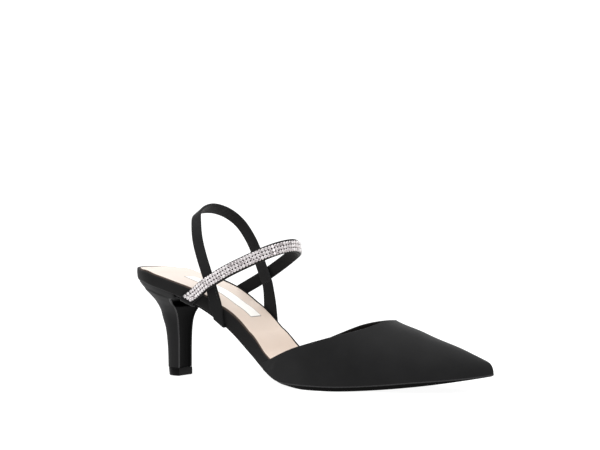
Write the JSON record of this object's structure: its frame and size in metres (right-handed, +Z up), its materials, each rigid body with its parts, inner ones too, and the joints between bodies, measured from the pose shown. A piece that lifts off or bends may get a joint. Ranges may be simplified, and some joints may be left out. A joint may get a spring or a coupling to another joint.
{
  "type": "slingback pump",
  "caption": "Pointed slingback pump for a right foot, with a slim mid heel, open waist, sling strap and a crystal-trimmed strap round the front of the ankle",
  "frame": {"origin": "on the floor, at the middle of the shoe's length and width", "axes": "+X to the toe, +Z up, lateral side at -Y, medial side at +Y"},
  "size_m": [0.2412, 0.0732, 0.1067],
  "materials": {
    "upper": "matt black microfibre with a faint nap",
    "board_cover": "matt black microfibre wrapped over the board",
    "sock": "smooth beige lining, blank white label area",
    "outsole": "smooth black, slightly glossy edge",
    "heel_cover": "matt black microfibre wrapped round the heel",
    "top_piece": "semi-gloss black",
    "sling_elastic": "matt black covered elastic",
    "tab": "matt black microfibre",
    "ankle_elastic": "matt black",
    "crystals": "small clear foiled stones in rows"
  },
  "bodies": {
    "root": {"upper": "upper", "insole_board": "board_cover", "sock": "sock", "outsole": "outsole", "heel": "heel_cover", "top_piece": "top_piece", "sling_strap": "sling_elastic", "sling_tab_lateral": "tab", "sling_tab_medial": "tab", "ankle_strap": "ankle_elastic", "crystal_band": "crystals"}
  },
  "joints": []
}
